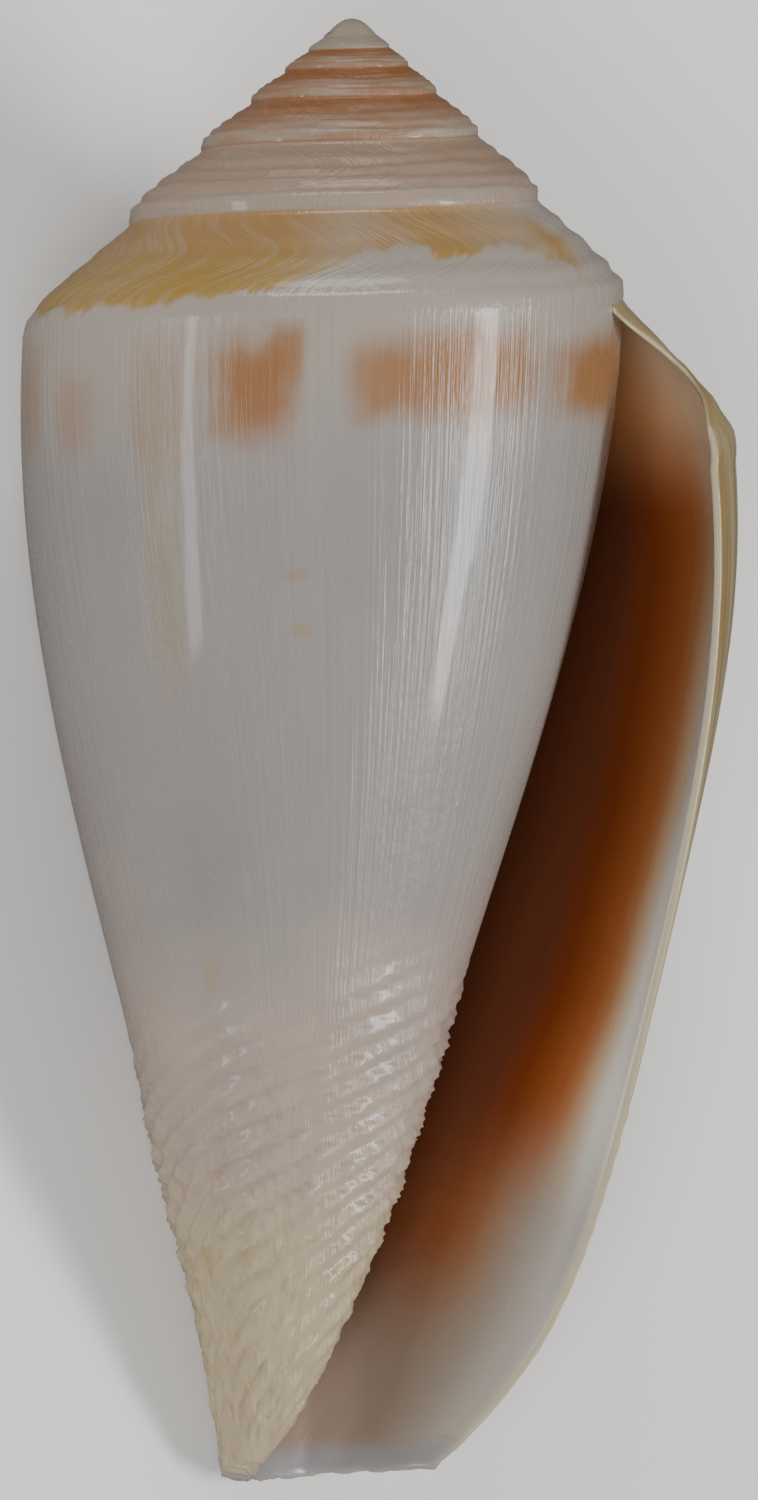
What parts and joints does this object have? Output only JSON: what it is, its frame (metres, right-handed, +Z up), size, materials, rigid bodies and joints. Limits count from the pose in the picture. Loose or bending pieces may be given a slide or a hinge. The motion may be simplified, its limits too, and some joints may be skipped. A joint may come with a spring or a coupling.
{
  "type": "cone shell",
  "caption": "Empty cone-shaped sea snail shell with a high stepped spire and a long narrow aperture, lying on its back.",
  "frame": {"origin": "centre of the box that holds the lying shell, at its lowest point, where it touches the floor", "axes": "+Z up with the aperture on top, +Y along the shell towards the apex, +X towards the outer lip"},
  "size_m": [0.0198, 0.0406, 0.0187],
  "materials": {
    "shell": "glossy cream and mauve-white shell with ochre patches, purple-brown inside"
  },
  "bodies": {
    "root": {"shell": "shell"}
  },
  "joints": []
}
